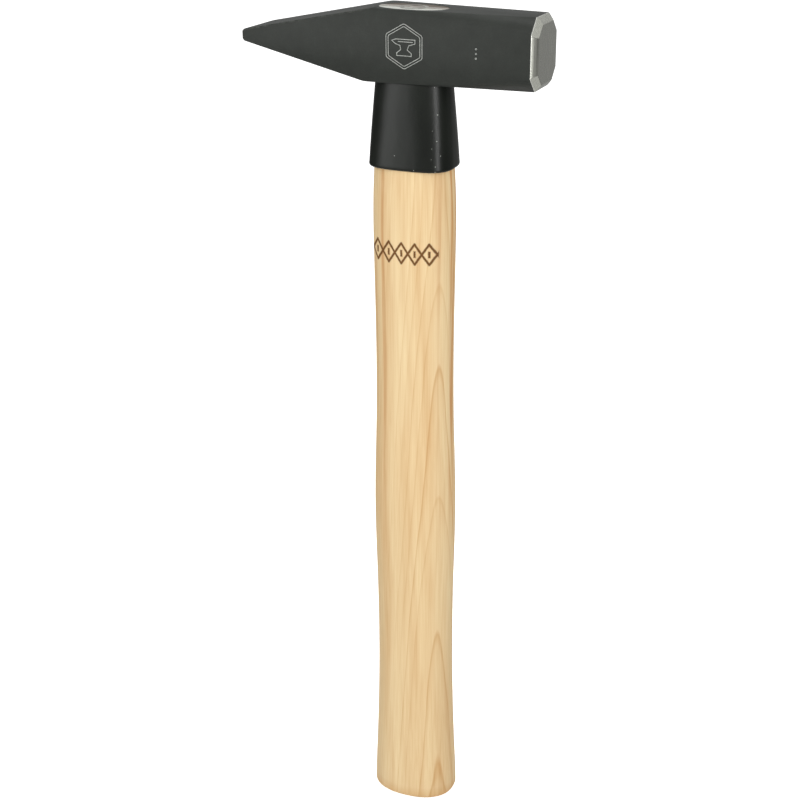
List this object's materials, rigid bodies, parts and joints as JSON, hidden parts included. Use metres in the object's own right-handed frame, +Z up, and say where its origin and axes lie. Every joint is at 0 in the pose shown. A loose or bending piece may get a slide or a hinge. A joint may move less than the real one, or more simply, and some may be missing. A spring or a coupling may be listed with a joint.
{
  "type": "cross-peen hammer",
  "caption": "Cross-peen hammer with a square ground striking face, wedge-shaped peen, swelled oval hardwood handle and black moulded neck sleeve.",
  "frame": {"origin": "centre of the flat butt end of the handle", "axes": "+Z up along the handle to the head, +X towards the striking face, -X towards the peen, -Y the cheek that carries the mark"},
  "size_m": [0.1185, 0.0272, 0.3484],
  "materials": {
    "forged_steel": "matt dark grey lacquer, striking face and its bevel ground bright",
    "hickory": "sanded and clear lacquered, long grain",
    "sleeve_plastic": "smooth glossy black moulding",
    "wedge_wood": "sawn end grain",
    "ring_steel": "plain bright steel"
  },
  "bodies": {
    "root": {"head": "forged_steel", "handle": "hickory", "neck_sleeve": "sleeve_plastic", "wooden_wedge": "wedge_wood", "ring_wedge": "ring_steel"}
  },
  "joints": []
}
